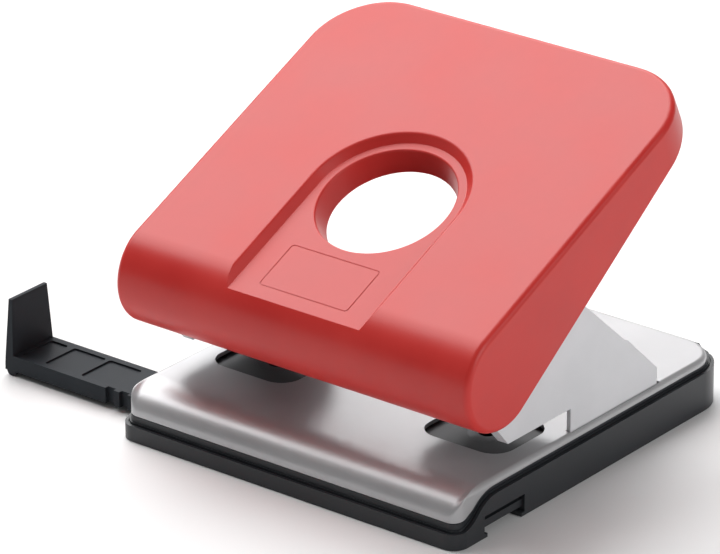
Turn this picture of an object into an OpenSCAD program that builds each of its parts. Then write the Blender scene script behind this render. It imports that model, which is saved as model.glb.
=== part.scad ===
// Two-hole desk punch.
// A black tray carries a silver paper table on a rear hinge. A steel frame stands on the table's
// chassis plate, and holds the pivot axle, two punch pins with their return springs, and the raised
// red lever. A black paper guide slides sideways through the tray.
// X runs along the paper edge, +Y points to the back, +Z points up, and Z = 0 is the desk.

/* [Tray] */
// Width of the tray
base_w = 128.1; // [128:0.1:128.6]
// Depth of the tray, front to back
base_d = 138; // [137:0.5:139]
// Radius of the tray's front corners, seen from above
front_corner_r = 5; // [4.5:0.5:7]
// Radius of the tray's rear corners, seen from above
rear_corner_r = 15; // [14:0.5:16]
// Thickness of the tray's side walls
tray_wall = 2.3; // [2.2:0.1:2.3]
// Thickness of the tray's floor
tray_floor = 1.8; // [1.4:0.1:2]
// Height of the tray's rim at the sides and the back
rim_high = 12.6; // [12.4:0.1:12.7]
// Height of the tray's rim along the front
rim_low = 5.2; // [5:0.1:5.5]
// How far the tray hangs above the desk, on its rubber feet
foot_gap = 0.2; // [0.1:0.1:0.3]

/* [Paper table] */
// Height of the table's top above the desk
table_top = 16.6; // [16.5:0.1:16.8]
// Sheet thickness of the table
table_sheet = 1.3; // [1:0.1:1.3]
// Gap between the table's outer edge and the tray's outer face
table_inset = 1.5; // [1.4:0.1:1.5]
// Radius of the rolled front edge
front_roll_r = 8.5; // [7.5:0.5:8.5]
// Radius of the rolled side edges
side_roll_r = 2; // [1.6:0.1:2]

/* [Frame] */
// Distance between the two holes that the punch makes
punch_spacing = 80; // [80:1:80]
// Distance from the hole centres to the paper's edge
punch_depth = 12; // [11:0.5:13]
// Y position of the paper stop
stop_y = -8.2; // [-8.4:0.1:-8]
// Top of the paper slot
slot_top = 24; // [23.8:0.1:24]
// Outer face of the side plates, from the middle of the punch
plate_out = 61.4; // [61.3:0.1:61.4]
// Thickness of the side plates
plate_t = 1.5; // [1.2:0.1:1.6]
// Y position of the side plates' rear edge
plate_back = 35.3; // [34.8:0.1:35.8]

/* [Lever] */
// Y position of the pivot axle
pivot_y = -48; // [-49:0.5:-47]
// Height of the pivot axle
pivot_z = 49; // [48:0.5:50]
// Tilt of the raised lever at rest, in degrees
lever_tilt = 23.7; // [23:0.1:24]
// How far the lever turns when it is pressed, in degrees
lever_travel = 21; // [20:0.5:21]
// Diameter of the pivot axle
axle_d = 6; // [5:0.5:6]
// Width of the lever cover
cover_w = 132; // [131:0.5:133]
// Distance from the pivot to the cover's rear edge
cover_back = 114; // [110:1:118]
// Radius of the cover's round nose
nose_r = 16.2; // [16:0.1:16.6]
// Wall thickness of the cover
cover_wall = 2.4; // [2:0.1:2.5]
// Corner radius of the cover's rear corners, seen from above
cover_corner_r = 23; // [18:1:26]
// Angle between the cover's top and its lower edge, in degrees
cover_taper = 11.6; // [11:0.2:12]
// Distance from the pivot to the middle of the finger hole
hole_u = 39.4; // [38:0.1:40]
// Radius of the finger hole at its rim
hole_r = 21.8; // [20:0.1:22]
// Radius of the finger hole at the lower end of its tube
hole_low_r = 20.1; // [18.5:0.1:20.5]
// Depth of the U-shaped recess round the finger hole
recess_depth = 2.5; // [2.2:0.1:2.6]
// Half width of the recess floor
recess_r = 25; // [24.5:0.1:25.5]
// Width of the sloping side of the recess
recess_slope = 1.8; // [1.5:0.1:2.5]

/* [Punch pins] */
// Diameter of the punch pins
pin_d = 5.5; // [5:0.5:6]
// Radial clearance of the pins in their guides
pin_clear = 0.05; // [0.02:0.01:0.1]
// Lower end of the raised pins
pin_low = 24; // [24:0.1:24.2]
// Wire diameter of the return springs
wire_d = 0.9; // [0.7:0.1:1]
// Number of turns of each return spring
spring_turns = 5; // [4:1:5]

/* [Paper guide] */
// X position of the stop's inner face with the guide as it is at rest
guide_x = -118.2; // [-120:0.2:-116]
// Length of the guide's rail
rail_len = 126; // [120:1:126]
// Width of the rail
rail_w = 18.6; // [18:0.1:18.8]
// Height of the rail
rail_h = 5.2; // [5:0.1:5.3]
// Height of the stop's top above the desk
stop_top = 25.6; // [24:0.2:28]

/* [Hidden] */

$fn = 96;
over = 1;                                   // how far a cutting shape runs past what it cuts

// Tray
base_mid = 2.75;                            // Y of the tray's middle
base_front = base_mid - base_d / 2;
base_back = base_mid + base_d / 2;
floor_top = foot_gap + tray_floor;
rim_s_front = -65;                          // where the rim starts to rise, going back
rim_s_back = -47;                           // where the rim reaches its full height
ridge_in = 1.4;                             // from the outer face to the ridge inside the groove
ridge_up = 0.6;
seat_in = 1.8;                              // from the outer face to the table's seat
seat_front_up = 2.5;                        // how far the seat stands above the rim
seat_side_up = 1.6;
groove_in = 1;                              // a fine groove in the top of the rim
rim_groove_w = 0.4;
rim_groove_depth = 0.5;
rear_wall = 3.4;
channel_mid = -43.6;                        // Y of the middle of the guide's channel
channel_w = 19.2;
channel_wall = 1.3;
channel_roof = 7.1;                         // underside of the roof over the rail
roof_t = 1.4;
lip_w = 1.4;                                // lips that carry the rail from below
lip_t = 1.2;
end_bar_x = 61.6;                           // a bar across the channel's right end
end_bar_t = 1.4;
end_bar_low = 2.9;
end_bar_high = 5.2;

// Tray hinge
hinge_y = base_back - 2.05;
hinge_z = 13.1;
knuckle_r = 1.5;
knuckle_x = 45;                             // middle of each hinge
knuckle_w = 5.4;                            // width of the table's knuckle
tray_knuckle_w = 4;
knuckle_gap = 0.3;
hinge_pin_r = 0.7;

// Rubber feet
foot_l = 20;
foot_w = 7;
foot_recess = 0.6;
foot_spots = [[0, 0], [45, -59.6], [-45, -59.6], [45, 52], [-45, 52]];

// Table
table_w = base_w - 2 * table_inset;
table_front = base_front + 1.85;
table_back = base_back - 3.6;
rear_roll_r = 2;
table_front_r = front_corner_r - 1;
table_rear_r = rear_corner_r - 2.5;
seat_gap = 0.2;                             // between the tray's seat and the table
window_w = 31;                              // windows in the table round the two dies
window_front = -35.3;
window_back = -8.3;
window_r = 7;

// Frame
punch_x = punch_spacing / 2;
punch_y = stop_y - punch_depth;
chassis_gap = 0.6;                          // between the table's sheet and the chassis plate
chassis_top = table_top - table_sheet - chassis_gap;
chassis_t = 2;
chassis_front = -38;
chassis_back = 38;
plate_in = plate_out - plate_t;
plate_low = 11.2;                           // underside of the foot flanges
flange_w = 15;
slot_gap = 0.25;                            // between the table's slots and the side plates
slot_end = 1.2;                             // how far a slot runs on behind its side plate
jaw_front = -38.6;                          // front end of the upper jaw
jaw_knee_y = -46;
jaw_knee_z = 32.5;
jaw_fold_w = 4;                             // width of the fold along the jaw's front edge
jaw_fold_run = 2;                           // its thickness, measured along Y
boss_r = 8;                                 // round end of each plate at the axle
plate_knee_z = 21.7;                         // where the rear edge starts to slope
plate_step_y = 19.3;                        // a small step in the sloping edge
plate_step_z = 36.7;
plate_crown_y = -4.2;                        // where the slope ends
plate_top = 57;
bracket_in = 27;                            // inner face of the punch brackets
bracket_t = 1.5;
bracket_back = 5;                           // how far the brackets stand behind the plates' front
bracket_front = jaw_front + bracket_back;
bracket_knee_y = jaw_knee_y + bracket_back;
guide_low = 23.9;                           // underside of the lower pin guide
guide_high = 29.5;                          // underside of the upper pin guide
guide_t = 1.5;
guide_back = -8.5;
rivet_r = 2;
rivet_head_r = 3.2;
rivet_head_t = 0.6;
rivet_rows = [-3, 14, 30];

// Axle
axle_r = axle_d / 2;
axle_clear = 0.05;
axle_half = 63;
groove_x = plate_out + 0.15;
groove_w = 0.7;
groove_r = axle_r - 0.7;
clip_r = axle_r + 2.2;
clip_t = 0.6;

// Press lever, seen from the pivot: u runs along the lever, v stands square to it
web_low = 9;
web_t = 2;
arm_in = 30.5;
arm_out = 56;
web_front = -6;
web_cross = 10;
web_back = 88;
ear_r = 7.5;
ear_t = 2;
flange_low = 5;
cam_t = 2.5;
cam_r = 3.5;
cam_reach = punch_y - pivot_y;              // level distance from the pivot to the pins
cam_rise = cam_reach * tan(lever_travel / 2);
cam_u = cam_reach * cos(lever_tilt) + cam_rise * sin(lever_tilt);
cam_v = cam_rise * cos(lever_tilt) - cam_reach * sin(lever_tilt);
cam_gap = 0.3;
screw_x = 43;
screw_u = 76;
screw_r = 1.5;
screw_head_r = 3;
screw_head_t = 1.8;
screw_len = 4;

// Cover, in the press lever's own directions
tangent_u = nose_r * sin(cover_taper);
tangent_v = -nose_r * cos(cover_taper);
rear_v = tangent_v + (cover_back - tangent_u) * tan(cover_taper);
lip_u = -5;                                 // where the nose's shell ends, under the pivot
floor_v = nose_r - recess_depth;
tube_low_v = 6.2;
tube_wall = 2;
boss_screw_r = 4;

// Pins and springs
pin_r = pin_d / 2;
pin_top = pivot_z + cam_rise - cam_r - cam_gap;
head_r = 4.9;
head_t = 3;
washer_r = 5;
washer_t = 0.8;
notch_depth = 0.9;
spring_r = 4.3;                             // from the pin's axis to the middle of the wire
spring_low = guide_high + guide_t + 0.05;
spring_high = pin_top - head_t - washer_t - 0.05;
spring_steps = 20;
spring_sides = 8;
bush_r = 6;
bush_flange_r = 7.5;
bush_low = 11;
bush_clear = 0.07;

// Guide
rail_low = 1.6;
rail_top = rail_low + rail_h;
rail_front = channel_mid - rail_w / 2;
rail_back = channel_mid + rail_w / 2;
stop_foot_t = 3.3;                          // thickness of the stop at its foot
stop_tip_t = 1.3;
stop_lean = 2;                              // how much the stop narrows towards its top
pocket_depth = 0.6;
pocket_w = 14;
bump_r = 1.9;
detent_l = 3.2;
detent_depth = 1.4;
detents = [37.5, 43];                       // from the stop's inner face
detent_x = -48;                             // the steel strip that clicks into them
detent_len = 18;
detent_t = 0.5;

// ---------- helpers ----------

// A flat shape drawn in Y and Z, given thickness along X from x0 to x1.
module along_x(x0, x1) {
    translate([x0, 0, 0])
        rotate([90, 0, 90])
            linear_extrude(x1 - x0) children();
}

// A flat shape drawn in X and Z, given thickness along Y from y0 to y1.
module along_y(y0, y1) {
    translate([0, y1, 0])
        rotate([90, 0, 0])
            linear_extrude(y1 - y0) children();
}

// A rectangle from corner p to corner q.
module span(p, q) {
    translate(p) square(q - p);
}

// A rectangle from corner p to corner q with round corners.
module round_span(p, q, r) {
    span([p[0] + r, p[1]], [q[0] - r, q[1]]);
    span([p[0], p[1] + r], [q[0], q[1] - r]);
    for (x = [p[0] + r, q[0] - r], y = [p[1] + r, q[1] - r])
        translate([x, y]) circle(r);
}

// A rectangle whose front corners have radius front_r and whose rear corners have radius rear_r.
module round_plan(p, q, front_r, rear_r) {
    span([p[0], p[1] + front_r], [q[0], q[1] - rear_r]);
    span([p[0] + front_r, p[1]], [q[0] - front_r, p[1] + front_r + over]);
    span([p[0] + rear_r, q[1] - rear_r - over], [q[0] - rear_r, q[1]]);
    for (x = [p[0] + front_r, q[0] - front_r])
        translate([x, p[1] + front_r]) circle(front_r);
    for (x = [p[0] + rear_r, q[0] - rear_r])
        translate([x, q[1] - rear_r]) circle(rear_r);
}

// A copy on the right, as drawn, or mirrored to the left.
module on_side(side) {
    if (side > 0) children();
    else mirror([1, 0, 0]) children();
}

// Places a shape drawn round the pivot on the raised lever.
module on_lever() {
    translate([0, pivot_y, pivot_z])
        rotate([lever_tilt, 0, 0]) children();
}

// A washer-like ring standing on Z = 0.
module ring(outer, inner, h) {
    difference() {
        cylinder(r = outer, h = h);
        translate([0, 0, -over]) cylinder(r = inner, h = h + 2 * over);
    }
}

// ---------- tray ----------

// Everything under a curve that rises in an S from low at the front to high, in Y and Z.
module under_curve(low, high) {
    reach = base_d;
    rise = high - low;
    run = rim_s_back - rim_s_front;
    r = (run * run + rise * rise) / (4 * rise);
    mid_y = (rim_s_front + rim_s_back) / 2;
    mid_z = (low + high) / 2;
    span([-reach, -reach], [rim_s_front, low]);
    difference() {
        span([rim_s_front, -reach], [mid_y, mid_z]);
        translate([rim_s_front, low + r]) circle(r);
    }
    span([mid_y, -reach], [reach, high - r]);
    intersection() {
        translate([rim_s_back, high - r]) circle(r);
        span([mid_y, -reach], [rim_s_back, high]);
    }
    span([rim_s_back, -reach], [reach, high]);
}

// The tray's outline seen from above, moved in by inset.
module base_outline(inset = 0) {
    half = base_w / 2 - inset;
    round_plan([-half, base_front + inset], [half, base_back - inset],
               front_corner_r - inset, rear_corner_r - inset);
}

module channel_span(extra) {
    half = channel_w / 2 + extra;
    translate([0, channel_mid]) span([-base_w, -half], [base_w, half]);
}

module tray_knuckle(x0, w) {
    along_x(x0, x0 + w) {
        translate([hinge_y, hinge_z]) circle(knuckle_r);
        span([hinge_y - knuckle_r, rim_high - 2.5], [base_back, hinge_z]);
    }
}

// The tray's outline, moved in by inset, up to the rim's curve moved up at the front and the side.
module tray_block(inset, front_up, side_up) {
    intersection() {
        translate([0, 0, foot_gap]) linear_extrude(2 * rim_high) base_outline(inset);
        along_x(-base_w, base_w) under_curve(rim_low + front_up, rim_high + side_up);
    }
}

// The space inside the tray's walls.
module cavity() {
    half = base_w / 2 - tray_wall;
    translate([0, 0, floor_top])
        linear_extrude(2 * rim_high)
            round_plan([-half, base_front + tray_wall], [half, base_back - rear_wall],
                       front_corner_r - tray_wall, rear_corner_r - rear_wall);
}

// The fine groove that runs round the top of the rim.
module rim_groove() {
    difference() {
        linear_extrude(2 * rim_high)
            difference() {
                base_outline(groove_in);
                base_outline(groove_in + rim_groove_w);
            }
        along_x(-base_w, base_w)
            under_curve(rim_low - rim_groove_depth, rim_high - rim_groove_depth);
    }
}

module base_tray() {
    color([0.10, 0.11, 0.12]) {
        difference() {
            union() {
                difference() {
                    union() {
                        tray_block(0, 0, 0);
                        tray_block(ridge_in, ridge_up, ridge_up);
                        tray_block(seat_in, seat_front_up, seat_side_up);
                    }
                    cavity();
                    rim_groove();
                }
                // the channel's walls and roof
                intersection() {
                    translate([0, 0, foot_gap])
                        linear_extrude(channel_roof + roof_t - foot_gap) channel_span(channel_wall);
                    tray_block(seat_in, 0, 0);
                }
                for (side = [-1, 1]) {
                    first = side * knuckle_x - knuckle_w / 2 - knuckle_gap - tray_knuckle_w;
                    tray_knuckle(first, tray_knuckle_w);
                    tray_knuckle(side * knuckle_x + knuckle_w / 2 + knuckle_gap, tray_knuckle_w);
                }
            }
            // the channel itself, open below between its lips, and through both side walls
            translate([0, 0, foot_gap + lip_t])
                linear_extrude(channel_roof - foot_gap - lip_t) channel_span(0);
            translate([0, 0, -over])
                linear_extrude(channel_roof) channel_span(-lip_w);
            translate([-base_w, hinge_y, hinge_z])
                rotate([0, 90, 0]) cylinder(r = hinge_pin_r + axle_clear, h = 2 * base_w);
            // clearance for the table's knuckles
            for (side = [-1, 1])
                along_x(side * knuckle_x - knuckle_w / 2 - knuckle_gap,
                        side * knuckle_x + knuckle_w / 2 + knuckle_gap)
                    translate([hinge_y, hinge_z]) circle(knuckle_r + knuckle_gap);
            foot_pads(foot_gap + foot_recess, -over);
            detent_seat();
        }
        // the bar that closes the channel's right end behind its opening
        translate([end_bar_x, channel_mid - channel_w / 2 - 0.5, end_bar_low])
            cube([end_bar_t, channel_w + 1, end_bar_high - end_bar_low]);
    }
}

// The foot pads, one in each corner and one in the middle, as flat blocks up to the height top.
module foot_pads(top, low = 0) {
    for (spot = foot_spots)
        translate([spot[0], spot[1], low])
            linear_extrude(top - low)
                round_span([-foot_l, -foot_w] / 2, [foot_l, foot_w] / 2, 2);
}

module rubber_feet() {
    color([0.05, 0.05, 0.05]) foot_pads(foot_gap + foot_recess);
}

module tray_hinge_pins() {
    length = knuckle_w + 2 * (knuckle_gap + tray_knuckle_w);
    color([0.7, 0.7, 0.72])
    for (side = [-1, 1])
        translate([side * knuckle_x - length / 2, hinge_y, hinge_z])
            rotate([0, 90, 0]) cylinder(r = hinge_pin_r, h = length);
}

// A slot in the channel's front wall that holds the detent spring.
module detent_seat() {
    y = channel_mid - channel_w / 2;
    translate([detent_x - detent_len / 2, y - detent_t - 0.15, 2.6])
        cube([detent_len, 2 * detent_t, 3.6]);
}

// A flat steel strip that lies in the seat, with a low bump towards the rail.
module guide_detent_spring() {
    y = channel_mid - channel_w / 2 - detent_t - 0.1;
    color([0.72, 0.73, 0.75]) {
        translate([detent_x - detent_len / 2 + 0.2, y, 2.8])
            cube([detent_len - 0.4, detent_t, 3.2]);
        intersection() {
            translate([detent_x, y - 3.4, 2.8]) cylinder(r = 4.1, h = 3.2);
            translate([detent_x - 4, y, 2.8]) cube([8, 1.2, 3.2]);
        }
    }
}

// ---------- paper guide ----------

module rail_pocket(from, length) {
    translate([guide_x + from, channel_mid, rail_top - pocket_depth])
        linear_extrude(2 * pocket_depth)
            round_span([0, -pocket_w / 2], [length, pocket_w / 2], 1);
}

module paper_guide() {
    color([0.13, 0.14, 0.15])
    difference() {
        union() {
            translate([guide_x - stop_foot_t + 0.3, rail_front, rail_low])
                cube([rail_len + stop_foot_t - 0.3, rail_w, rail_h]);
            intersection() {
                along_y(rail_front, rail_back)
                    polygon([[guide_x, rail_low], [guide_x, stop_top],
                             [guide_x - stop_tip_t, stop_top],
                             [guide_x - stop_foot_t, rail_low + 2],
                             [guide_x - stop_foot_t, rail_low]]);
                along_x(guide_x - 2 * stop_foot_t, guide_x + over)
                    polygon([[rail_front, rail_low], [rail_back, rail_low], [rail_back, rail_top],
                             [rail_back - stop_lean, stop_top],
                             [rail_front + 0.3, stop_top], [rail_front, rail_top]]);
            }
            // the half-round foot that slides on the desk
            intersection() {
                translate([guide_x - 0.8, rail_front, bump_r])
                    rotate([-90, 0, 0]) cylinder(r = bump_r - 0.05, h = rail_w);
                translate([guide_x - 4, rail_front, 0]) cube([8, rail_w, 2.2]);
            }
        }
        rail_pocket(1.5, 7);
        rail_pocket(11, 13);
        rail_pocket(25.5, 13);
        for (d = detents)
            translate([guide_x + d, rail_front - over, rail_low - over])
                cube([detent_l, over + detent_depth, rail_h + 2 * over]);
    }
}

// ---------- paper table ----------

// The table's outline from the side, moved in by inset and open below.
module table_side(inset = 0) {
    top = table_top - inset;
    front = table_front + inset;
    back = table_back - inset;
    r = front_roll_r - inset;
    low = table_top - front_roll_r;
    b = rear_roll_r - inset;
    translate([front + r, top - r]) circle(r);
    span([front + r, 0], [back - b, top]);
    span([front, 0], [back, low]);
    span([front + r, 0], [back, top - b]);
    translate([back - b, top - b]) circle(b);
}

// The table's outline from the front.
module table_end(inset = 0) {
    top = table_top - inset;
    half = table_w / 2 - inset;
    r = side_roll_r - inset;
    span([-half, 0], [half, top - r]);
    span([-half + r, 0], [half - r, top]);
    for (s = [-1, 1])
        translate([s * (half - r), top - r]) circle(r);
}

module table_block(inset = 0) {
    reach = base_w;
    half = table_w / 2 - inset;
    intersection() {
        along_x(-reach, reach) table_side(inset);
        along_y(-reach, reach) table_end(inset);
        linear_extrude(table_top)
            round_plan([-half, table_front + inset], [half, table_back - inset],
                       table_front_r - inset, table_rear_r - inset);
    }
}

module paper_table() {
    color([0.72, 0.72, 0.74])
    difference() {
        union() {
            difference() {
                table_block();
                table_block(table_sheet);
                along_x(-base_w, base_w)
                    under_curve(rim_low + seat_front_up + seat_gap,
                                rim_high + seat_side_up + seat_gap);
            }
            for (side = [-1, 1])
                along_x(side * knuckle_x - knuckle_w / 2, side * knuckle_x + knuckle_w / 2) {
                    translate([hinge_y, hinge_z]) circle(knuckle_r);
                    span([table_back - table_sheet, hinge_z], [hinge_y, hinge_z + knuckle_r]);
                }
        }
        translate([-base_w, hinge_y, hinge_z])
            rotate([0, 90, 0]) cylinder(r = hinge_pin_r + axle_clear, h = 2 * base_w);
        for (side = [-1, 1]) {
            // window round the die
            translate([side * punch_x, 0, chassis_top - over])
                linear_extrude(table_sheet + 2 * over)
                    round_span([-window_w / 2, window_front], [window_w / 2, window_back], window_r);
            // slot for the side plate
            on_side(side)
                translate([plate_in - slot_gap, stop_y - slot_gap, 0])
                    cube([plate_t + 2 * slot_gap, plate_back - stop_y + slot_gap + slot_end,
                          2 * table_top]);
        }
    }
}

// ---------- frame ----------

module chassis_plate() {
    color([0.14, 0.15, 0.16])
    difference() {
        translate([0, 0, chassis_top - chassis_t])
            linear_extrude(chassis_t)
                round_span([-plate_in, chassis_front], [plate_in, chassis_back], 2);
        for (side = [-1, 1]) {
            translate([side * punch_x, punch_y, 0]) cylinder(r = bush_r, h = 2 * table_top);
            for (y = rivet_rows)
                translate([side * (plate_in - flange_w / 2), y, 0])
                    cylinder(r = rivet_r, h = 2 * table_top);
        }
    }
}

// The side plate's outline: a foot in the table's slot, and a C round the paper slot.
module side_outline() {
    front_low = chassis_front + 1;
    jaw_low = chassis_top - chassis_t;
    difference() {
        union() {
            polygon([[front_low, plate_low], [plate_back, plate_low], [plate_back, plate_knee_z],
                     [plate_step_y + 0.6, plate_step_z - 0.6], [plate_step_y - 0.8, plate_step_z],
                     [plate_crown_y, plate_top], [pivot_y + boss_r, plate_top],
                     [jaw_knee_y, pivot_z], [jaw_knee_y, jaw_knee_z], [jaw_front, slot_top],
                     [stop_y, slot_top], [stop_y, jaw_low], [front_low, jaw_low]]);
            translate([pivot_y, pivot_z]) circle(boss_r);
        }
        translate([pivot_y, pivot_z]) circle(axle_r + axle_clear);
    }
}

module side_plate(side) {
    color([0.78, 0.78, 0.80])
    on_side(side) {
        along_x(plate_in, plate_out) side_outline();
        // the fold along the jaw's sloping front edge
        along_x(plate_out - jaw_fold_w, plate_in + over)
            polygon([[jaw_front, slot_top], [jaw_knee_y, jaw_knee_z],
                     [jaw_knee_y + jaw_fold_run, jaw_knee_z],
                     [jaw_front + jaw_fold_run, slot_top]]);
        // the foot flange, bent in under the chassis plate
        difference() {
            translate([plate_in - flange_w, chassis_front + 1, plate_low])
                cube([flange_w + 0.5, plate_back - chassis_front - 1,
                      chassis_top - chassis_t - plate_low]);
            for (y = rivet_rows)
                translate([plate_in - flange_w / 2, y, 0]) cylinder(r = rivet_r, h = 2 * table_top);
            translate([punch_x, punch_y, 0]) cylinder(r = bush_flange_r + 0.3, h = 2 * table_top);
        }
    }
}

module side_plate_right() { side_plate(1); }
module side_plate_left() { side_plate(-1); }

// The bracket's inner cheek, in Y and Z.
module cheek_outline() {
    difference() {
        union() {
            polygon([[bracket_front, guide_low], [guide_back, guide_low], [guide_back, 36],
                     [-30, 53], [pivot_y, pivot_z + boss_r - 0.5],
                     [bracket_knee_y, jaw_knee_z]]);
            translate([pivot_y, pivot_z]) circle(boss_r - 0.5);
        }
        translate([pivot_y, pivot_z]) circle(axle_r + axle_clear);
    }
}

module punch_bracket(side) {
    inner = bracket_in + bracket_t;
    color([0.66, 0.67, 0.69])
    on_side(side)
    difference() {
        union() {
            along_x(bracket_in, inner) cheek_outline();
            // two guide plates for the pin
            for (z = [guide_low, guide_high])
                translate([bracket_in, bracket_front + 3, z])
                    cube([plate_in - bracket_in, guide_back - bracket_front - 3, guide_t]);
            // the front web, folded along the jaw's sloping front edge
            along_x(bracket_in, plate_in)
                polygon([[bracket_front, guide_low], [bracket_knee_y, jaw_knee_z],
                         [bracket_knee_y, jaw_knee_z + 4], [bracket_knee_y + bracket_t, jaw_knee_z + 4],
                         [bracket_knee_y + bracket_t, jaw_knee_z + 0.6],
                         [bracket_front + 3.2, guide_low + guide_t], [bracket_front + 3.2, guide_low]]);
        }
        translate([punch_x, punch_y, 0]) cylinder(r = pin_r + pin_clear, h = pivot_z);
    }
}

module punch_bracket_right() { punch_bracket(1); }
module punch_bracket_left() { punch_bracket(-1); }

module frame_rivets() {
    color([0.75, 0.75, 0.77])
    for (side = [-1, 1], y = rivet_rows)
        translate([side * (plate_in - flange_w / 2), y, 0]) {
            translate([0, 0, plate_low]) cylinder(r = rivet_r, h = chassis_top - plate_low);
            translate([0, 0, plate_low - rivet_head_t]) cylinder(r = rivet_head_r, h = rivet_head_t);
        }
}

module die_bush(side) {
    color([0.55, 0.56, 0.58])
    translate([side * punch_x, punch_y, bush_low]) {
        ring(bush_r, pin_r + bush_clear, chassis_top - bush_low);
        ring(bush_flange_r, pin_r + bush_clear, chassis_top - chassis_t - bush_low);
    }
}

module die_bush_right() { die_bush(1); }
module die_bush_left() { die_bush(-1); }

module pivot_axle() {
    color([0.75, 0.76, 0.78])
    difference() {
        translate([-axle_half, pivot_y, pivot_z])
            rotate([0, 90, 0]) cylinder(r = axle_r, h = 2 * axle_half);
        for (side = [-1, 1])
            translate([side * (groove_x + groove_w / 2), pivot_y, pivot_z])
                rotate([0, 90, 0])
                    translate([0, 0, -groove_w / 2]) ring(axle_r + over, groove_r, groove_w);
    }
}

module axle_clips() {
    color([0.45, 0.46, 0.48])
    for (side = [-1, 1])
        translate([side * (groove_x + groove_w / 2), pivot_y, pivot_z])
            rotate([0, 90, 0])
                translate([0, 0, -clip_t / 2])
                    difference() {
                        ring(clip_r, groove_r + 0.02, clip_t);
                        translate([0, -groove_r * 0.8, -over])
                            cube([clip_r + over, groove_r * 1.6, clip_t + 2 * over]);
                    }
}

// ---------- lever ----------

// One ear with the axle's bore, and the stiffening flange behind it.
module ear_outline(back) {
    difference() {
        union() {
            circle(ear_r);
            span([web_front, 0], [ear_r, web_low + 0.5]);
            span([0, flange_low], [back, web_low + 0.5]);
        }
        circle(axle_r + axle_clear);
    }
}

module cam_outline() {
    translate([cam_u, cam_v]) circle(cam_r);
    polygon([[cam_u - 9, web_low + 0.5], [cam_u + 9, web_low + 0.5],
             [cam_u + cam_r, cam_v], [cam_u - cam_r, cam_v]]);
}

module press_lever() {
    color([0.60, 0.61, 0.63])
    on_lever()
    difference() {
        union() {
            translate([0, 0, web_low])
                linear_extrude(web_t) {
                    span([-arm_out, web_front], [arm_out, web_cross]);
                    for (side = [-1, 1])
                        on_side(side) span([arm_in, web_front], [arm_out, web_back]);
                }
            for (side = [-1, 1])
                on_side(side) {
                    along_x(arm_out - ear_t, arm_out) ear_outline(web_back);
                    along_x(arm_in, arm_in + ear_t) ear_outline(web_cross);
                    along_x(punch_x - cam_t / 2, punch_x + cam_t / 2) cam_outline();
                }
        }
        for (side = [-1, 1])
            translate([side * screw_x, screw_u, 0])
                cylinder(r = screw_r + 0.1, h = nose_r);
    }
}

// The cover's outline from the side.
module cover_side() {
    circle(nose_r);
    polygon([[0, 0], [0, nose_r], [cover_back, nose_r], [cover_back, rear_v],
             [tangent_u, tangent_v]]);
}

// The hollow inside the cover, open below behind the lip.
module cover_hollow() {
    r = nose_r - cover_wall;
    back = cover_back - cover_wall;
    deep = -nose_r - over;
    circle(r);
    polygon([[0, 0], [0, r], [back, r], [back, deep], [lip_u, deep], [lip_u, 0]]);
}

// The cover's outline from above.
module cover_plan(inset = 0) {
    half = cover_w / 2 - inset;
    r = cover_corner_r - inset;
    back = cover_back - inset;
    span([-half, -nose_r - over], [half, back - r]);
    span([-half + r, back - r - over], [half - r, back]);
    for (s = [-1, 1])
        translate([s * (half - r), back - r]) circle(r);
}

module cover_slab(inset = 0) {
    translate([0, 0, -2 * nose_r])
        linear_extrude(4 * nose_r) cover_plan(inset);
}

// The U-shaped recess: a flat floor with sloping sides, open over the nose.
module recess_cut() {
    rise = recess_depth + over;
    spread = recess_slope * rise / recess_depth;
    translate([0, hole_u, floor_v])
        cylinder(r1 = recess_r, r2 = recess_r + spread, h = rise);
    translate([0, 0, floor_v])
        along_y(-nose_r - over, hole_u)
            polygon([[-recess_r, 0], [recess_r, 0],
                     [recess_r + spread, rise], [-recess_r - spread, rise]]);
}

// The thicker shell under the recess.
module recess_pad() {
    half = recess_r + recess_slope + 1;
    low = floor_v - cover_wall;
    intersection() {
        translate([0, 0, low]) linear_extrude(nose_r - low) {
            translate([0, hole_u]) circle(half);
            span([-half, -nose_r], [half, hole_u]);
        }
        along_x(-cover_w / 2, cover_w / 2) cover_side();
    }
}

module lever_cover() {
    color([0.78, 0.12, 0.11])
    on_lever()
    difference() {
        union() {
            difference() {
                intersection() {
                    along_x(-cover_w / 2, cover_w / 2) cover_side();
                    cover_slab();
                }
                intersection() {
                    along_x(-cover_w / 2 + cover_wall, cover_w / 2 - cover_wall) cover_hollow();
                    cover_slab(cover_wall);
                }
            }
            recess_pad();
            translate([0, hole_u, tube_low_v])
                cylinder(r = hole_r + tube_wall, h = floor_v - tube_low_v);
            for (side = [-1, 1])
                translate([side * screw_x, screw_u, web_low + web_t])
                    cylinder(r = boss_screw_r, h = nose_r - cover_wall - web_low - web_t + 0.5);
        }
        recess_cut();
        translate([0, hole_u, tube_low_v - 0.01])
            cylinder(r1 = hole_low_r, r2 = hole_r, h = floor_v - tube_low_v + 0.02);
        for (side = [-1, 1])
            translate([side * screw_x, screw_u, web_low])
                cylinder(r = screw_r + 0.02, h = screw_len);
    }
}

module cover_screws() {
    color([0.7, 0.7, 0.72])
    on_lever()
    for (side = [-1, 1])
        translate([side * screw_x, screw_u, 0]) {
            translate([0, 0, web_low - screw_head_t]) cylinder(r = screw_head_r, h = screw_head_t);
            translate([0, 0, web_low - 0.5]) cylinder(r = screw_r, h = screw_len + 0.3);
        }
}

// ---------- punch pins ----------

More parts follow.
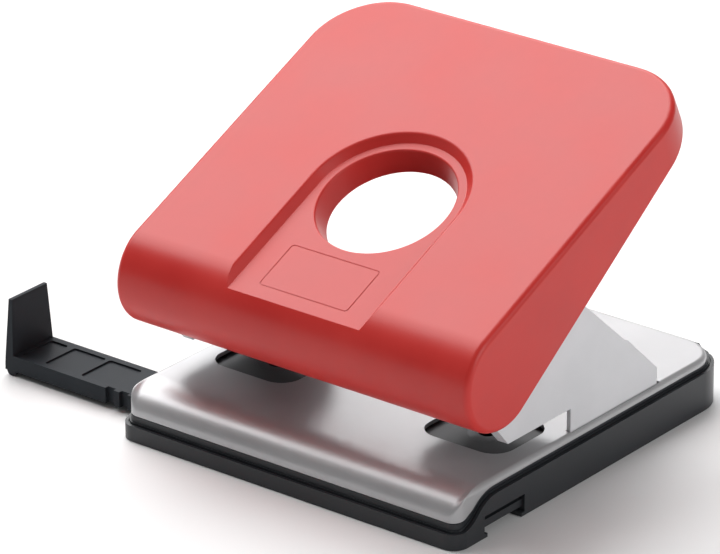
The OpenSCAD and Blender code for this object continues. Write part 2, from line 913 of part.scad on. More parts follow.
module punch_pin(side) {
    color([0.80, 0.81, 0.83])
    translate([side * punch_x, punch_y, 0])
    difference() {
        union() {
            translate([0, 0, pin_low]) cylinder(r = pin_r, h = pin_top - pin_low);
            translate([0, 0, pin_top - head_t]) cylinder(r = head_r, h = head_t);
        }
        // the V-shaped cutting end
        along_x(-pin_d, pin_d)
            polygon([[-pin_r - 0.01, pin_low - 0.01], [0, pin_low + notch_depth],
                     [pin_r + 0.01, pin_low - 0.01]]);
    }
}

module punch_pin_right() { punch_pin(1); }
module punch_pin_left() { punch_pin(-1); }

module spring_washer(side) {
    color([0.65, 0.66, 0.68])
    translate([side * punch_x, punch_y, pin_top - head_t - washer_t])
        ring(washer_r, pin_r + 0.05, washer_t);
}

module spring_washer_right() { spring_washer(1); }
module spring_washer_left() { spring_washer(-1); }

// A point of the coil: ring i along the wire, corner j round it.
function coil_point(i, j, rise) =
    let (turn = 360 * i / spring_steps,
         round_wire = 360 * j / spring_sides,
         out = spring_r + wire_d / 2 * cos(round_wire))
    [out * cos(turn), out * sin(turn),
     wire_d / 2 + rise * i / (spring_steps * spring_turns) + wire_d / 2 * sin(round_wire)];

module coil(height) {
    rise = height - wire_d;
    rings = spring_steps * spring_turns;
    points = [for (i = [0 : rings], j = [0 : spring_sides - 1]) coil_point(i, j, rise)];
    walls = [for (i = [0 : rings - 1], j = [0 : spring_sides - 1])
             let (next = (j + 1) % spring_sides)
             [i * spring_sides + j, (i + 1) * spring_sides + j,
              (i + 1) * spring_sides + next, i * spring_sides + next]];
    first_cap = [for (j = [0 : spring_sides - 1]) j];
    last_cap = [for (j = [spring_sides - 1 : -1 : 0]) rings * spring_sides + j];
    polyhedron(points = points, faces = concat(walls, [first_cap], [last_cap]));
}

module return_spring(side) {
    color([0.70, 0.71, 0.73])
    translate([side * punch_x, punch_y, spring_low])
        coil(spring_high - spring_low);
}

module return_spring_right() { return_spring(1); }
module return_spring_left() { return_spring(-1); }

base_tray();
rubber_feet();
tray_hinge_pins();
guide_detent_spring();
paper_guide();
paper_table();
chassis_plate();
side_plate_right();
side_plate_left();
punch_bracket_right();
punch_bracket_left();
frame_rivets();
die_bush_right();
die_bush_left();
pivot_axle();
axle_clips();
press_lever();
lever_cover();
cover_screws();
punch_pin_right();
punch_pin_left();
spring_washer_right();
spring_washer_left();
return_spring_right();
return_spring_left();
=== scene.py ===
import math

import bmesh
import bpy
from mathutils import Matrix, Vector


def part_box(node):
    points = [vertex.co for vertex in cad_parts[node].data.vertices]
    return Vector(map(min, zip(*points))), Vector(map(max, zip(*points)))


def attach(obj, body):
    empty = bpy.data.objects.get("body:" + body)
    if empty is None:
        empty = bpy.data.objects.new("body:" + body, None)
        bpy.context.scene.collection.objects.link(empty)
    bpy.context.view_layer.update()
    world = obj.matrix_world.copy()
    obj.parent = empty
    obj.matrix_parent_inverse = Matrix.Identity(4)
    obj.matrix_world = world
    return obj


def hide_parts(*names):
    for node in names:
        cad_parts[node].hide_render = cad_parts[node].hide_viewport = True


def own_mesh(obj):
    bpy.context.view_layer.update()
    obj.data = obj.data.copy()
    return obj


# The visual model of a two-hole desk punch, built round the frame of its CAD part.
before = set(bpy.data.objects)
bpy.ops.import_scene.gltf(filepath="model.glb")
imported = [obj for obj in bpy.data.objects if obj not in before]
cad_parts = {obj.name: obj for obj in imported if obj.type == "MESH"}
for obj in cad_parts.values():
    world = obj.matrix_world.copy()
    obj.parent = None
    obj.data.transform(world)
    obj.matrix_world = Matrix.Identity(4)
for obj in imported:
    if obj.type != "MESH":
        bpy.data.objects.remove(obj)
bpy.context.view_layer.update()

MM = 0.001
TOUCH = 1e-6                 # places closer than this, in metres, are the same
CAD_TOUCH = 2e-6             # and the same for a CAD mesh
CAD_FLAT = 0.8               # faces of a CAD mesh that meet at less than this many degrees are one
PAST = 2.0                   # how far a cutting tool reaches past a surface, in millimetres

# The lever cover, in millimetres. u runs along the lever from its pivot, v stands square to it.
PIVOT_Y = -48.0
PIVOT_Z = 49.0
TILT = math.radians(23.7)
COVER_HALF = 66.0
NOSE_R = 16.2
NOSE_STEPS = 64
OUTSIDE = -NOSE_R - 4.0      # past the whole nose, to the front or below
COVER_BACK = 114.0
COVER_CORNER_R = 23.0
COVER_CORNER_STEPS = 24
HOLLOW_CORNER_STEPS = 20
COVER_WALL = 2.4
COVER_TAPER = math.radians(11.6)
COVER_EDGE_R = 2.0
COVER_EDGE_STEPS = 6
COVER_EDGE_SHARP = 50
EDGE_SLACK = 0.01
COVER_LOW_EDGE_R = 0.6
LOW_EDGE_START = 235.0       # direction, seen from the pivot, where the edge starts to sharpen
LIP_U = -5.0
HOLE_U = 39.4
HOLE_R = 21.8
HOLE_LOW_R = 20.1
TUBE_LOW = 6.2
TUBE_WALL = 2.0
RECESS_DEPTH = 2.5
RECESS_HALF = 24.6
RECESS_SLOPE = 2.2
RIM_R = 1.2                  # rounding of the recess's rim
HOLE_RIM_R = 0.7             # and of the hole's
RIM_STEPS = 5
FLOOR_V = NOSE_R - RECESS_DEPTH
PAD_MARGIN = 1.0             # how far the thick part under the recess reaches past its slope
PAD_HIGH = NOSE_R + 10.0
HOLLOW_STEPS = 48
DISC_STEPS = 96
LABEL_U = 5.0
LABEL_HALF_W = 16.5
LABEL_HALF_L = 8.9
LABEL_LINE = 0.35
LABEL_DEPTH = 0.2
LABEL_R = 1.2
LABEL_INNER_R = 0.9
BOSSES = [(-43.0, 76.0), (43.0, 76.0)]
BOSS_R = 4.0
BOSS_LOW = 11.0
BOSS_STEPS = 32

# The paper table, in millimetres. A roll is how far an edge curves in, and how far down.
TABLE_TOP = 16.6
TABLE_SHEET = 1.3
TABLE_HALF = 62.55
TABLE_FRONT = -64.4
TABLE_BACK = 68.15
TABLE_FRONT_R = 4.0
TABLE_REAR_R = 12.5
FRONT_ROLL = (12.6, 8.2)
SIDE_ROLL = (1.5, 2.0)
REAR_ROLL = (2.0, 2.0)
ROLL_STEPS = 14
CORNER_STEPS = 16
CUT_CORNER_STEPS = 10        # in a corner of a window, a slot or the label
SIDE_STATIONS = (-57, -55, -53, -51, -49, -47, -30, 0, 30)     # denser where the edge rises
LOW_EDGE = 7.9               # height of the table's lower edge at the front
HIGH_EDGE = 14.4             # and at the sides and the back
RISE_FRONT = -65.0
RISE_BACK = -47.0
PUNCH_X = 40.0
WINDOW_Y = -21.8
WINDOW_W = 31.0
WINDOW_L = 27.0
WINDOW_R = 7.0
WINDOW_CUT = 4.0             # how far below the top the windows are cut
SLOT_X = 60.65
SLOT_Y = 14.03
SLOT_W = 2.0
SLOT_L = 44.95
SLOT_R = 0.3
SLOT_CUT = 8.0
HINGE_Y = 69.7
HINGE_Z = 13.1
KNUCKLE_R = 1.5
KNUCKLE_X = 45.0
KNUCKLE_W = 5.4
KNUCKLE_REACH = 1.0          # how far a lug reaches under the table's rear edge
KNUCKLE_STEPS = 24

# The return springs, in millimetres
WIRE_R = 0.45
SPRING_TURNS = 5
STEPS_PER_TURN = 32
WIRE_SIDES = 10
FLAT_END = 0.08              # share of the wire that lies flat at each end

# Rounded edges: the width in millimetres, and the angle in degrees from which an edge counts
SOFT_EDGE = 0.3
LUG_EDGE = 0.2
SHARP = 35
COVER_SHARP = 24
AREA_WEIGHT = 60             # above 50, the large faces lead the shading

# The studio, in metres
FLOOR_SIZE = 6
WORLD_LIGHT = 0.20
LIGHT_AIM = (0, 0, 0.05)

# The camera looks from the front right, past the point it goes round
CAMERA_TURN = math.radians(37.84)
CAMERA_RISE = math.radians(24.25)
CAMERA_AWAY = 1.6457
CAMERA_CENTRE = (0, 0, 0.030)
LOOK_LEFT = 0.01139
LOOK_UP = 0.00938
LENS = 274.2
SENSOR = 36


# ---------- mesh helpers ----------

def new_object(name, bm):
    """An object in the scene from a bmesh, with its faces shaded smooth."""
    mesh = bpy.data.meshes.new(name)
    bmesh.ops.recalc_face_normals(bm, faces=bm.faces)
    bm.to_mesh(mesh)
    bm.free()
    mesh.polygons.foreach_set("use_smooth", [True] * len(mesh.polygons))
    obj = bpy.data.objects.new(name, mesh)
    bpy.context.scene.collection.objects.link(obj)
    return obj


def bake(obj):
    """Applies every modifier of an object."""
    graph = bpy.context.evaluated_depsgraph_get()
    mesh = bpy.data.meshes.new_from_object(obj.evaluated_get(graph))
    old = obj.data
    obj.modifiers.clear()
    obj.data = mesh
    bpy.data.meshes.remove(old)


def cut(obj, tool):
    """Takes the solid tool away from obj."""
    mod = obj.modifiers.new("cut", "BOOLEAN")
    mod.operation = "DIFFERENCE"
    mod.solver = "EXACT"
    mod.object = tool
    bake(obj)
    bpy.data.objects.remove(tool)


def round_edges(obj, width, angle, segments=3):
    """Rounds the edges that are sharper than angle, and evens the shading."""
    mod = obj.modifiers.new("round", "BEVEL")
    mod.width = width * MM
    mod.segments = segments
    mod.limit_method = "ANGLE"
    mod.angle_limit = math.radians(angle)
    mod.use_clamp_overlap = True
    mod.miter_outer = "MITER_ARC"
    bake(obj)
    even_shading(obj)


def even_shading(obj):
    """Smooth shading that follows the large faces and leaves the flat ones flat."""
    obj.data.polygons.foreach_set("use_smooth", [True] * len(obj.data.polygons))
    mod = obj.modifiers.new("shading", "WEIGHTED_NORMAL")
    mod.weight = AREA_WEIGHT
    mod.keep_sharp = False
    bake(obj)


def join_rings(bm, low, high):
    """Faces between two rings of the same number of points."""
    for i in range(len(low)):
        j = (i + 1) % len(low)
        bm.faces.new([low[i], low[j], high[j], high[i]])


def prism(name, outline, low, high, place):
    """A solid from a closed outline, from low to high; place(a, b, h) gives a point."""
    bm = bmesh.new()
    ends = []
    for h in (low, high):
        ends.append([bm.verts.new(place(a, b, h)) for a, b in outline])
    bm.faces.new(ends[0])
    bm.faces.new(ends[1])
    join_rings(bm, ends[0], ends[1])
    return new_object(name, bm)


def loft(name, layers):
    """A solid through layers, from the lowest up: each is a height and an outline in x and u."""
    bm = bmesh.new()
    rings = [[bm.verts.new((x * MM, u * MM, height * MM)) for x, u in outline]
             for height, outline in layers]
    for low, high in zip(rings, rings[1:]):
        join_rings(bm, low, high)
    bm.faces.new(rings[0])
    bm.faces.new(rings[-1])
    return new_object(name, bm)


def taper(name, low_outline, high_outline, low, high):
    """A solid between two outlines in x and u, at the heights low and high."""
    return loft(name, [(low, low_outline), (high, high_outline)])


def wall_and_rim(low, low_reach, high, high_reach, r):
    """Heights and reaches up a sloping wall, over a rim of radius r and out along the top."""
    lean = math.atan2(high_reach - low_reach, high - low)
    setback = r * math.tan((math.pi / 2 - lean) / 2)
    middle = high_reach + setback
    points = [(low, low_reach)]
    for i in range(RIM_STEPS + 1):
        a = lean + (math.pi / 2 - lean) * i / RIM_STEPS
        points.append((high - r + r * math.sin(a), middle - r * math.cos(a)))
    points.append((high + PAST, middle + PAST))
    return points


def arc(centre, r, start, end, steps):
    """Points on an arc, in degrees, both ends included."""
    points = []
    for i in range(steps + 1):
        a = math.radians(start + (end - start) * i / steps)
        points.append((centre[0] + r * math.cos(a), centre[1] + r * math.sin(a)))
    return points


def across(u, v, x):
    """A point of a side outline given thickness along X."""
    return (x * MM, u * MM, v * MM)


def join(name, parts):
    """One object from several, which are removed."""
    bm = bmesh.new()
    for part in parts:
        bm.from_mesh(part.data)
        bpy.data.objects.remove(part)
    return new_object(name, bm)


def rounded(x, y, half_x, half_y, r):
    """A rectangle with round corners, round the point x, y."""
    points = []
    for sx, sy, start in ((1, -1, -90), (1, 1, 0), (-1, 1, 90), (-1, -1, 180)):
        centre = (x + sx * (half_x - r), y + sy * (half_y - r))
        points += arc(centre, r, start, start + 90, CUT_CORNER_STEPS)
    return points


def softened(node, name, body, width):
    """A copy of a CAD node with its sharp edges rounded, which stands in for the node."""
    bm = bmesh.new()
    bm.from_mesh(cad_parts[node].data)
    bmesh.ops.remove_doubles(bm, verts=bm.verts, dist=CAD_TOUCH)
    bmesh.ops.dissolve_limit(bm, angle_limit=math.radians(CAD_FLAT), verts=bm.verts,
                             edges=bm.edges)
    piece = new_object(name, bm)
    round_edges(piece, width, SHARP)
    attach(piece, body)
    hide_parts(node)
    return piece


# ---------- lever cover ----------

def u_outline(half, front):
    """The U shape of the recess: straight sides from front, and a round end at the hole."""
    return [(-half, front), (half, front)] + arc((0, HOLE_U), half, 0, 180, NOSE_STEPS)


def disc(centre, r, steps=DISC_STEPS):
    """Points round a full circle, without the last one that would repeat the first."""
    return arc(centre, r, 0, 360 - 360 / steps, steps - 1)


def round_rear_corners(obj, back, r, segments):
    """Rounds the two upright edges of a cover solid whose rear face is at back."""
    bm = bmesh.new()
    bm.from_mesh(obj.data)
    limit = back * MM - TOUCH
    corners = [e for e in bm.edges
               if all(v.co.y > limit for v in e.verts)
               and abs(e.verts[0].co.x - e.verts[1].co.x) < TOUCH]
    bmesh.ops.bevel(bm, geom=corners, offset=r * MM, offset_type="OFFSET",
                    segments=segments, profile=0.5, affect="EDGES")
    bm.to_mesh(obj.data)
    bm.free()


def cover_body():
    """The cover's outside as a full solid, its edges rounded."""
    tangent = math.degrees(COVER_TAPER)
    nose = arc((0, 0), NOSE_R, 90, 270 + tangent, NOSE_STEPS)
    rear_v = nose[-1][1] + (COVER_BACK - nose[-1][0]) * math.tan(COVER_TAPER)
    outline = nose + [(COVER_BACK, rear_v), (COVER_BACK, NOSE_R)]
    body = prism("cover_shell", outline, -COVER_HALF, COVER_HALF, across)
    round_rear_corners(body, COVER_BACK, COVER_CORNER_R, COVER_CORNER_STEPS)
    mod = body.modifiers.new("edge", "BEVEL")
    mod.width = COVER_EDGE_R * MM
    mod.segments = COVER_EDGE_STEPS
    mod.limit_method = "ANGLE"
    mod.angle_limit = math.radians(COVER_EDGE_SHARP)
    mod.use_clamp_overlap = False
    bake(body)
    for vertex in body.data.vertices:
        sharpen_low_edge(vertex)
    return body


def plan_depth(x, u):
    """How far x, u lies inside the cover's outline from above, and the way out from there."""
    r = COVER_CORNER_R
    cx, cu = COVER_HALF - r, COVER_BACK - r
    if x > cx and u > cu:
        reach = math.hypot(x - cx, u - cu)
        return r - reach, (x - cx) / reach, (u - cu) / reach
    if COVER_BACK - u < COVER_HALF - x:
        return COVER_BACK - u, 0, 1
    return COVER_HALF - x, 1, 0


def side_depth(u, v):
    """How far u, v lies inside the lower half of the side outline, the way out, and the radius."""
    turn = math.degrees(math.atan2(v, u)) % 360
    limit = 270 + math.degrees(COVER_TAPER)
    if 90 < turn <= limit:
        reach = math.hypot(u, v)
        share = min(1, max(0, (turn - LOW_EDGE_START) / (limit - LOW_EDGE_START)))
        radius = COVER_EDGE_R + (COVER_LOW_EDGE_R - COVER_EDGE_R) * share
        return NOSE_R - reach, u / reach, v / reach, radius
    out_u, out_v = math.sin(COVER_TAPER), -math.cos(COVER_TAPER)
    return NOSE_R - u * out_u - v * out_v, out_u, out_v, COVER_LOW_EDGE_R


def sharpen_low_edge(vertex):
    """Gives the cover's lower edge its smaller radius, if the vertex is part of that edge."""
    x, u, v = (c / MM for c in vertex.co)
    side = 1 if x > 0 else -1
    plan, out_x, plan_u = plan_depth(abs(x), u)
    deep, out_u, out_v, radius = side_depth(u, v)
    if max(plan, deep) > COVER_EDGE_R + EDGE_SLACK:
        return
    change = 1 - radius / COVER_EDGE_R
    x += side * out_x * plan * change
    u += (plan_u * plan + out_u * deep) * change
    v += out_v * deep * change
    vertex.co = (x * MM, u * MM, v * MM)


def cover_hollow():
    """The space inside the cover, without the pad, tube and bosses that stand in it."""
    r = NOSE_R - COVER_WALL
    back = COVER_BACK - COVER_WALL
    half = COVER_HALF - COVER_WALL
    last = math.degrees(math.acos(LIP_U / r))
    outline = arc((0, 0), r, 90, 360 - last, HOLLOW_STEPS)
    outline += [(LIP_U, OUTSIDE), (back, OUTSIDE), (back, r)]
    hollow = prism("hollow", outline, -half, half, across)
    round_rear_corners(hollow, back, COVER_CORNER_R - COVER_WALL, HOLLOW_CORNER_STEPS)
    pad = u_outline(RECESS_HALF + RECESS_SLOPE + PAD_MARGIN, OUTSIDE - PAD_MARGIN)
    cut(hollow, taper("pad", pad, pad, FLOOR_V - COVER_WALL, PAD_HIGH))
    tube = disc((0, HOLE_U), HOLE_R + TUBE_WALL)
    cut(hollow, taper("tube", tube, tube, TUBE_LOW, PAD_HIGH))
    for place in BOSSES:
        ring = disc(place, BOSS_R, BOSS_STEPS)
        cut(hollow, taper("boss", ring, ring, BOSS_LOW, PAD_HIGH))
    return hollow


def recess_tool():
    """The U-shaped recess round the hole, as a solid to cut away."""
    wall = wall_and_rim(FLOOR_V, RECESS_HALF, NOSE_R, RECESS_HALF + RECESS_SLOPE, RIM_R)
    return loft("recess", [(height, u_outline(half, OUTSIDE)) for height, half in wall])


def hole_tool():
    """The finger hole with its rim, as a solid to cut away."""
    wall = wall_and_rim(TUBE_LOW, HOLE_LOW_R, FLOOR_V, HOLE_R, HOLE_RIM_R)
    wall.insert(0, (TUBE_LOW - PAST, HOLE_LOW_R))
    return loft("hole", [(height, disc((0, HOLE_U), r)) for height, r in wall])


def label_groove():
    """A fine plain rectangle in the recess floor, in front of the hole."""
    inner_w = LABEL_HALF_W - LABEL_LINE
    inner_l = LABEL_HALF_L - LABEL_LINE
    outer = rounded(0, LABEL_U, LABEL_HALF_W, LABEL_HALF_L, LABEL_R)
    inner = rounded(0, LABEL_U, inner_w, inner_l, LABEL_INNER_R)
    low = FLOOR_V - LABEL_DEPTH
    high = FLOOR_V + 1
    tool = taper("label", outer, outer, low, high)
    cut(tool, taper("label_middle", inner, inner, low - 1, high + 1))
    return tool


def make_cover():
    """The lever cover, turned to its place at rest."""
    cover = cover_body()
    cut(cover, cover_hollow())
    cut(cover, recess_tool())
    cut(cover, hole_tool())
    round_edges(cover, SOFT_EDGE, COVER_SHARP)
    cut(cover, label_groove())
    even_shading(cover)
    cover.data.transform(Matrix.Translation((0, PIVOT_Y * MM, PIVOT_Z * MM))
                         @ Matrix.Rotation(TILT, 4, "X"))
    return cover


# ---------- paper table ----------

def edge_height(y):
    """Height of the table's lower edge, which rises in an S from the front to the sides."""
    rise = HIGH_EDGE - LOW_EDGE
    run = RISE_BACK - RISE_FRONT
    r = (run * run + rise * rise) / (4 * rise)
    if y <= RISE_FRONT:
        return LOW_EDGE
    if y >= RISE_BACK:
        return HIGH_EDGE
    if y < (RISE_FRONT + RISE_BACK) / 2:
        return LOW_EDGE + r - math.sqrt(r * r - (y - RISE_FRONT) ** 2)
    return HIGH_EDGE - r + math.sqrt(r * r - (RISE_BACK - y) ** 2)


def blend(first, second, share):
    """A pair of sizes part of the way from first to second."""
    return tuple(a + (b - a) * share for a, b in zip(first, second))


def table_outline(inset):
    """The table's outline from above: edge point, nearest point of the flat top, roll height."""
    half = TABLE_HALF - inset
    front = TABLE_FRONT + inset
    back = TABLE_BACK - inset
    front_r = TABLE_FRONT_R - inset
    rear_r = TABLE_REAR_R - inset
    front_roll, side_roll, rear_roll = (
        tuple(size - inset for size in roll) for roll in (FRONT_ROLL, SIDE_ROLL, REAR_ROLL))
    flat_x = half - side_roll[0]
    flat_front = front + front_roll[0]
    right = []
    for i in range(CORNER_STEPS + 1):
        share = i / CORNER_STEPS
        a = math.radians(-90 + 90 * share)
        ease = share * share * (3 - 2 * share)
        edge = (half - front_r + front_r * math.cos(a), front + front_r + front_r * math.sin(a))
        right.append((edge, (flat_x, flat_front), blend(front_roll, side_roll, ease)[1]))
    for y in SIDE_STATIONS:
        right.append(((half, y), (flat_x, max(y, flat_front)), side_roll[1]))
    for i in range(CORNER_STEPS + 1):
        share = i / CORNER_STEPS
        a = math.radians(90 * share)
        across_x, along_y = math.cos(a), math.sin(a)
        edge = (half - rear_r + rear_r * across_x, back - rear_r + rear_r * along_y)
        flat = (edge[0] - side_roll[0] * across_x, edge[1] - rear_roll[0] * along_y)
        right.append((edge, flat, blend(side_roll, rear_roll, share)[1]))
    left = [((-e[0], e[1]), (-c[0], c[1]), roll) for e, c, roll in reversed(right)]
    return right + left


def table_rings(inset):
    """The rings of the table's skin, from its lower edge to the flat top."""
    outline = table_outline(inset)
    top = TABLE_TOP - inset
    rings = [[(e[0], e[1], edge_height(e[1])) for e, _, _ in outline]]
    for i in range(ROLL_STEPS + 1):
        a = math.radians(90 * i / ROLL_STEPS)
        c, s = math.cos(a), math.sin(a)
        rings.append([(p[0] + (e[0] - p[0]) * c, p[1] + (e[1] - p[1]) * c, top - roll * (1 - s))
                      for e, p, roll in outline])
    return rings


def make_table():
    """The paper table: two skins joined at the lower edge, with its windows and slots cut."""
    bm = bmesh.new()
    skins = []
    for inset in (0, TABLE_SHEET):
        rings = [[bm.verts.new((x * MM, y * MM, z * MM)) for x, y, z in ring]
                 for ring in table_rings(inset)]
        skins.append(rings)
    for rings in skins:
        for low, high in zip(rings, rings[1:]):
            join_rings(bm, low, high)
        bm.faces.new(rings[-1])
    join_rings(bm, skins[0][0], skins[1][0])
    bmesh.ops.remove_doubles(bm, verts=bm.verts, dist=TOUCH)
    table = new_object("table_shell", bm)
    for side in (-1, 1):
        window = rounded(side * PUNCH_X, WINDOW_Y, WINDOW_W / 2, WINDOW_L / 2, WINDOW_R)
        cut(table, taper("window", window, window, TABLE_TOP - WINDOW_CUT, TABLE_TOP + PAST))
        slot = rounded(side * SLOT_X, SLOT_Y, SLOT_W / 2, SLOT_L / 2, SLOT_R)
        cut(table, taper("slot", slot, slot, TABLE_TOP - SLOT_CUT, TABLE_TOP + PAST))
    round_edges(table, SOFT_EDGE, SHARP)
    return table


def make_table_knuckles():
    """The two lugs that join the table to the tray's hinge pins."""
    lugs = []
    end = TABLE_BACK - KNUCKLE_REACH
    outline = arc((HINGE_Y, HINGE_Z), KNUCKLE_R, -180, 90, KNUCKLE_STEPS)
    outline += [(end, HINGE_Z + KNUCKLE_R), (end, HINGE_Z)]
    for side in (-1, 1):
        middle = side * KNUCKLE_X
        lug = prism("lug", outline, middle - KNUCKLE_W / 2, middle + KNUCKLE_W / 2, across)
        lugs.append(lug)
    piece = join("table_lugs", lugs)
    round_edges(piece, LUG_EDGE, SHARP, 2)
    return piece


# ---------- return springs ----------

def make_spring(node, name):
    """A coil of round wire in place of a CAD spring, its end turns lying flat."""
    low, high = (Vector(corner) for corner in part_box(node))
    wire = WIRE_R * MM
    middle = (low + high) / 2
    coil_r = (high.x - low.x) / 2 - wire
    count = SPRING_TURNS * STEPS_PER_TURN
    angles = [2 * math.pi * i / WIRE_SIDES for i in range(WIRE_SIDES)]
    up = Vector((0, 0, 1))
    bm = bmesh.new()
    rings = []
    for i in range(count + 1):
        turn = 2 * math.pi * i / STEPS_PER_TURN
        share = min(1, max(0, (i / count - FLAT_END) / (1 - 2 * FLAT_END)))
        out = Vector((math.cos(turn), math.sin(turn), 0))
        rise = wire + (high.z - low.z - 2 * wire) * share
        centre = Vector((middle.x, middle.y, low.z)) + out * coil_r + up * rise
        rings.append([bm.verts.new(centre + (out * math.cos(a) + up * math.sin(a)) * wire)
                      for a in angles])
    for first, second in zip(rings, rings[1:]):
        join_rings(bm, first, second)
    bm.faces.new(rings[0])
    bm.faces.new(rings[-1])
    return new_object(name, bm)


def add_spring(side):
    """A return spring in place of its CAD node, fastened to the frame; the punch pin squeezes the
    real one as it goes down.
    """
    node = "return_spring_" + side
    spring = make_spring(node, "spring_" + side)
    dress(spring, STEEL)
    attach(spring, "frame")
    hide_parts(node)
    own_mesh(spring)


# ---------- materials ----------

NOISE_LOW = 0.3              # a noise seldom leaves the range between these two
NOISE_HIGH = 0.7
BUMP_STRENGTH = 0.6


def tree(name):
    """A new material, its nodes, its links and its Principled shader."""
    material = bpy.data.materials.new(name)
    material.use_nodes = True
    nodes = material.node_tree.nodes
    return material, nodes, material.node_tree.links, nodes["Principled BSDF"]


def noise(nodes, links, scale, stretch=(1, 1, 1), detail=4.0):
    """A noise texture on the object's own coordinates, in metres."""
    where = nodes.new("ShaderNodeTexCoord")
    mapping = nodes.new("ShaderNodeMapping")
    mapping.inputs["Scale"].default_value = stretch
    texture = nodes.new("ShaderNodeTexNoise")
    texture.inputs["Scale"].default_value = scale
    texture.inputs["Detail"].default_value = detail
    links.new(where.outputs["Object"], mapping.inputs["Vector"])
    links.new(mapping.outputs["Vector"], texture.inputs["Vector"])
    return texture.outputs["Fac"]


def remap(nodes, links, value, low, high):
    """Spreads a noise over low to high."""
    node = nodes.new("ShaderNodeMapRange")
    node.inputs["From Min"].default_value = NOISE_LOW
    node.inputs["From Max"].default_value = NOISE_HIGH
    node.inputs["To Min"].default_value = low
    node.inputs["To Max"].default_value = high
    links.new(value, node.inputs["Value"])
    return node.outputs["Result"]


def tones(nodes, links, value, first, second):
    """A colour that goes from first to second with a noise."""
    ramp = nodes.new("ShaderNodeValToRGB")
    ramp.color_ramp.elements[0].position = NOISE_LOW
    ramp.color_ramp.elements[0].color = (*first, 1)
    ramp.color_ramp.elements[1].position = NOISE_HIGH
    ramp.color_ramp.elements[1].color = (*second, 1)
    links.new(value, ramp.inputs["Fac"])
    return ramp.outputs["Color"]


def finish_surface(name, first, second, rough, grain, metallic=0.0, patch=40, stretch=(1, 1, 1),
                   depth=0.00002, specular=0.5):
    """A surface with slow changes of tone and gloss, and a fine grain of the given scale."""
    material, nodes, links, shader = tree(name)
    slow = noise(nodes, links, patch)
    fine = noise(nodes, links, grain, stretch, detail=3.0)
    links.new(tones(nodes, links, slow, first, second), shader.inputs["Base Color"])
    links.new(remap(nodes, links, slow, rough[0], rough[1]), shader.inputs["Roughness"])
    bump = nodes.new("ShaderNodeBump")
    bump.inputs["Strength"].default_value = BUMP_STRENGTH
    bump.inputs["Distance"].default_value = depth
    links.new(fine, bump.inputs["Height"])
    links.new(bump.outputs["Normal"], shader.inputs["Normal"])
    shader.inputs["Metallic"].default_value = metallic
    shader.inputs["Specular IOR Level"].default_value = specular
    return material


def dress(piece, material):
    """Gives a piece its one material."""
    piece.data.materials.clear()
    piece.data.materials.append(material)


RED = finish_surface("red_plastic", (0.54, 0.022, 0.018), (0.60, 0.030, 0.024), (0.34, 0.42), 2600,
                     specular=0.4)
BLACK = finish_surface("black_plastic", (0.018, 0.020, 0.024), (0.025, 0.028, 0.032),
                       (0.32, 0.42), 2200, specular=0.4)
GUIDE = finish_surface("guide_plastic", (0.028, 0.032, 0.037), (0.036, 0.041, 0.047),
                       (0.40, 0.50), 2200, specular=0.06)
SILVER = finish_surface("silver_lacquer", (0.43, 0.43, 0.44), (0.47, 0.47, 0.48),
                        (0.34, 0.40), 5200, metallic=0.45, depth=0.00001)
GREY = finish_surface("grey_powder_coat", (0.64, 0.64, 0.66), (0.70, 0.70, 0.72), (0.42, 0.5), 1800,
                      metallic=0.1)
ZINC = finish_surface("zinc_plate", (0.48, 0.50, 0.53), (0.62, 0.62, 0.64), (0.3, 0.42), 900,
                      metallic=1.0, patch=220)
# Painted shade: the chassis sheet is near black so that the table's windows show the shade that
# falls in them under the cover
PAINTED_SHADE_SHEET = finish_surface("painted_shade_sheet", (0.030, 0.032, 0.036), (0.044, 0.046, 0.050), (0.4, 0.5), 1800,
                      metallic=0.3)
STEEL = finish_surface("drawn_steel", (0.56, 0.57, 0.59), (0.68, 0.69, 0.71), (0.24, 0.34), 2500,
                       metallic=1.0, patch=60, stretch=(0.05, 1, 1), depth=0.000003)
HARD = finish_surface("hardened_steel", (0.30, 0.31, 0.34), (0.42, 0.43, 0.45), (0.22, 0.34), 2500,
                      metallic=1.0, patch=160, stretch=(1, 1, 0.05), depth=0.00001)
BUSH = finish_surface("blackened_steel", (0.035, 0.036, 0.040), (0.060, 0.061, 0.066), (0.34, 0.44),
                      1500, metallic=0.8, patch=160)
RUBBER = finish_surface("foot_rubber", (0.012, 0.012, 0.013), (0.022, 0.022, 0.023),
                        (0.7, 0.85), 3000)


# ---------- pieces ----------

cover = make_cover()
dress(cover, RED)
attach(cover, "lever")
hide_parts("lever_cover")

table = make_table()
dress(table, SILVER)
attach(table, "frame")
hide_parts("paper_table")
lugs = make_table_knuckles()
dress(lugs, SILVER)
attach(lugs, "frame")

# CAD node, piece that stands in for it, body, rounding in millimetres, material and slot
SOFTENED = [
    ("base_tray", "tray_shell", "tray", 0.2, BLACK, "tray_black"),
    ("paper_guide", "guide_bar", "guide", 0.3, GUIDE, "guide_black"),
    ("side_plate_right", "plate_right", "frame", 0.2, GREY, "frame_grey"),
    ("side_plate_left", "plate_left", "frame", 0.2, GREY, "frame_grey"),
    ("punch_bracket_right", "bracket_right", "frame", 0.2, GREY, "frame_grey"),
    ("punch_bracket_left", "bracket_left", "frame", 0.2, GREY, "frame_grey"),
    # the chassis sheet is painted near black as the shade seen through the windows
    ("chassis_plate", "chassis_sheet", "frame", 0.2, PAINTED_SHADE_SHEET, "dark_steel"),
    ("press_lever", "lever_pressing", "lever", 0.25, ZINC, "zinc_steel"),
]
for node, name, body, width, material, slot in SOFTENED:
    piece = softened(node, name, body, width)
    dress(piece, material)

add_spring("right")
add_spring("left")

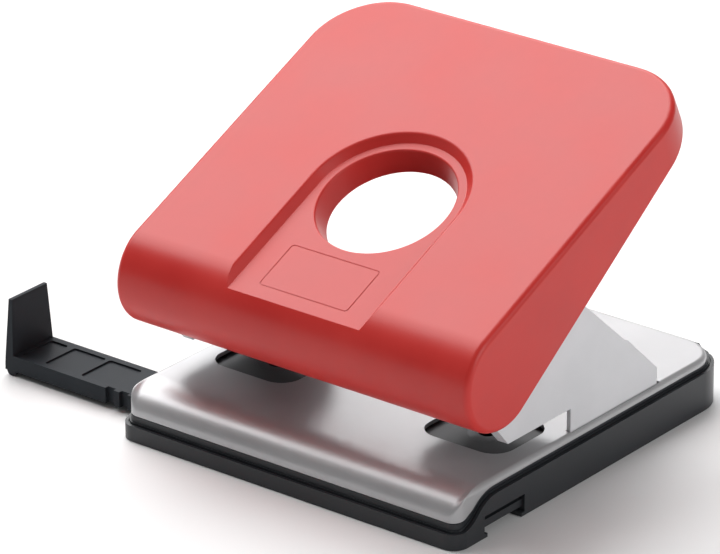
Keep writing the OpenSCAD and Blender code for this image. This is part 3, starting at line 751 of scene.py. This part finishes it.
# CAD nodes that are kept as they are
KEPT = {
    "rubber_feet": RUBBER, "tray_hinge_pins": STEEL, "guide_detent_spring": STEEL,
    "frame_rivets": BUSH, "die_bush_right": BUSH, "die_bush_left": BUSH, "pivot_axle": STEEL,
    "axle_clips": HARD, "cover_screws": STEEL, "punch_pin_right": HARD, "punch_pin_left": HARD,
    "spring_washer_right": STEEL, "spring_washer_left": STEEL,
}
for node, material in KEPT.items():
    dress(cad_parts[node], material)


# ---------- floor, light and camera ----------

def make_floor():
    """A plain pale floor, which is part of the stage."""
    bm = bmesh.new()
    bmesh.ops.create_grid(bm, x_segments=1, y_segments=1, size=FLOOR_SIZE)
    floor = new_object("floor", bm)
    material, nodes, links, shader = tree("pale_floor")
    links.new(tones(nodes, links, noise(nodes, links, 3), (0.86, 0.86, 0.86), (0.88, 0.88, 0.88)),
              shader.inputs["Base Color"])
    shader.inputs["Roughness"].default_value = 0.8
    dress(floor, material)


def soft_box(name, place, size, watts):
    """A large area light at place, turned towards the punch."""
    light = bpy.data.lights.new(name, "AREA")
    light.shape = "RECTANGLE"
    light.size, light.size_y = size
    light.energy = watts
    lamp = bpy.data.objects.new(name, light)
    lamp.location = place
    way = Vector(LIGHT_AIM) - Vector(place)
    lamp.rotation_euler = way.to_track_quat("-Z", "Y").to_euler()
    bpy.context.scene.collection.objects.link(lamp)


def make_world(strength):
    """Even white light from all round."""
    world = bpy.data.worlds.new("studio")
    world.use_nodes = True
    world.node_tree.nodes["Background"].inputs["Color"].default_value = (1, 1, 1, 1)
    world.node_tree.nodes["Background"].inputs["Strength"].default_value = strength
    bpy.context.scene.world = world


def make_camera():
    """A long lens, seen from the front right and above."""
    level = math.cos(CAMERA_RISE)
    away = Vector((math.sin(CAMERA_TURN) * level, -math.cos(CAMERA_TURN) * level,
                   math.sin(CAMERA_RISE)))
    right = Vector((math.cos(CAMERA_TURN), math.sin(CAMERA_TURN), 0))
    up = away.cross(right)
    look = (-away - right * LOOK_LEFT + up * LOOK_UP).normalized()
    side = look.cross(up).normalized()
    camera = bpy.data.objects.new("camera", bpy.data.cameras.new("camera"))
    place = Vector(CAMERA_CENTRE) + away * CAMERA_AWAY
    axes = Matrix((side, side.cross(look), -look)).transposed().to_4x4()
    camera.matrix_world = Matrix.Translation(place) @ axes
    camera.data.lens = LENS
    camera.data.sensor_width = SENSOR
    bpy.context.scene.collection.objects.link(camera)
    bpy.context.scene.camera = camera


make_floor()
make_world(WORLD_LIGHT)
soft_box("overhead", (-1.1, 0.48, 1.6), (2.3, 1.8), 65)
soft_box("fill", (1.9, 0.1, 0.9), (1.0, 1.0), 14)
soft_box("back", (-1.3, 1.9, 0.9), (2.4, 1.4), 6)
make_camera()
bpy.context.scene.view_settings.view_transform = "Standard"
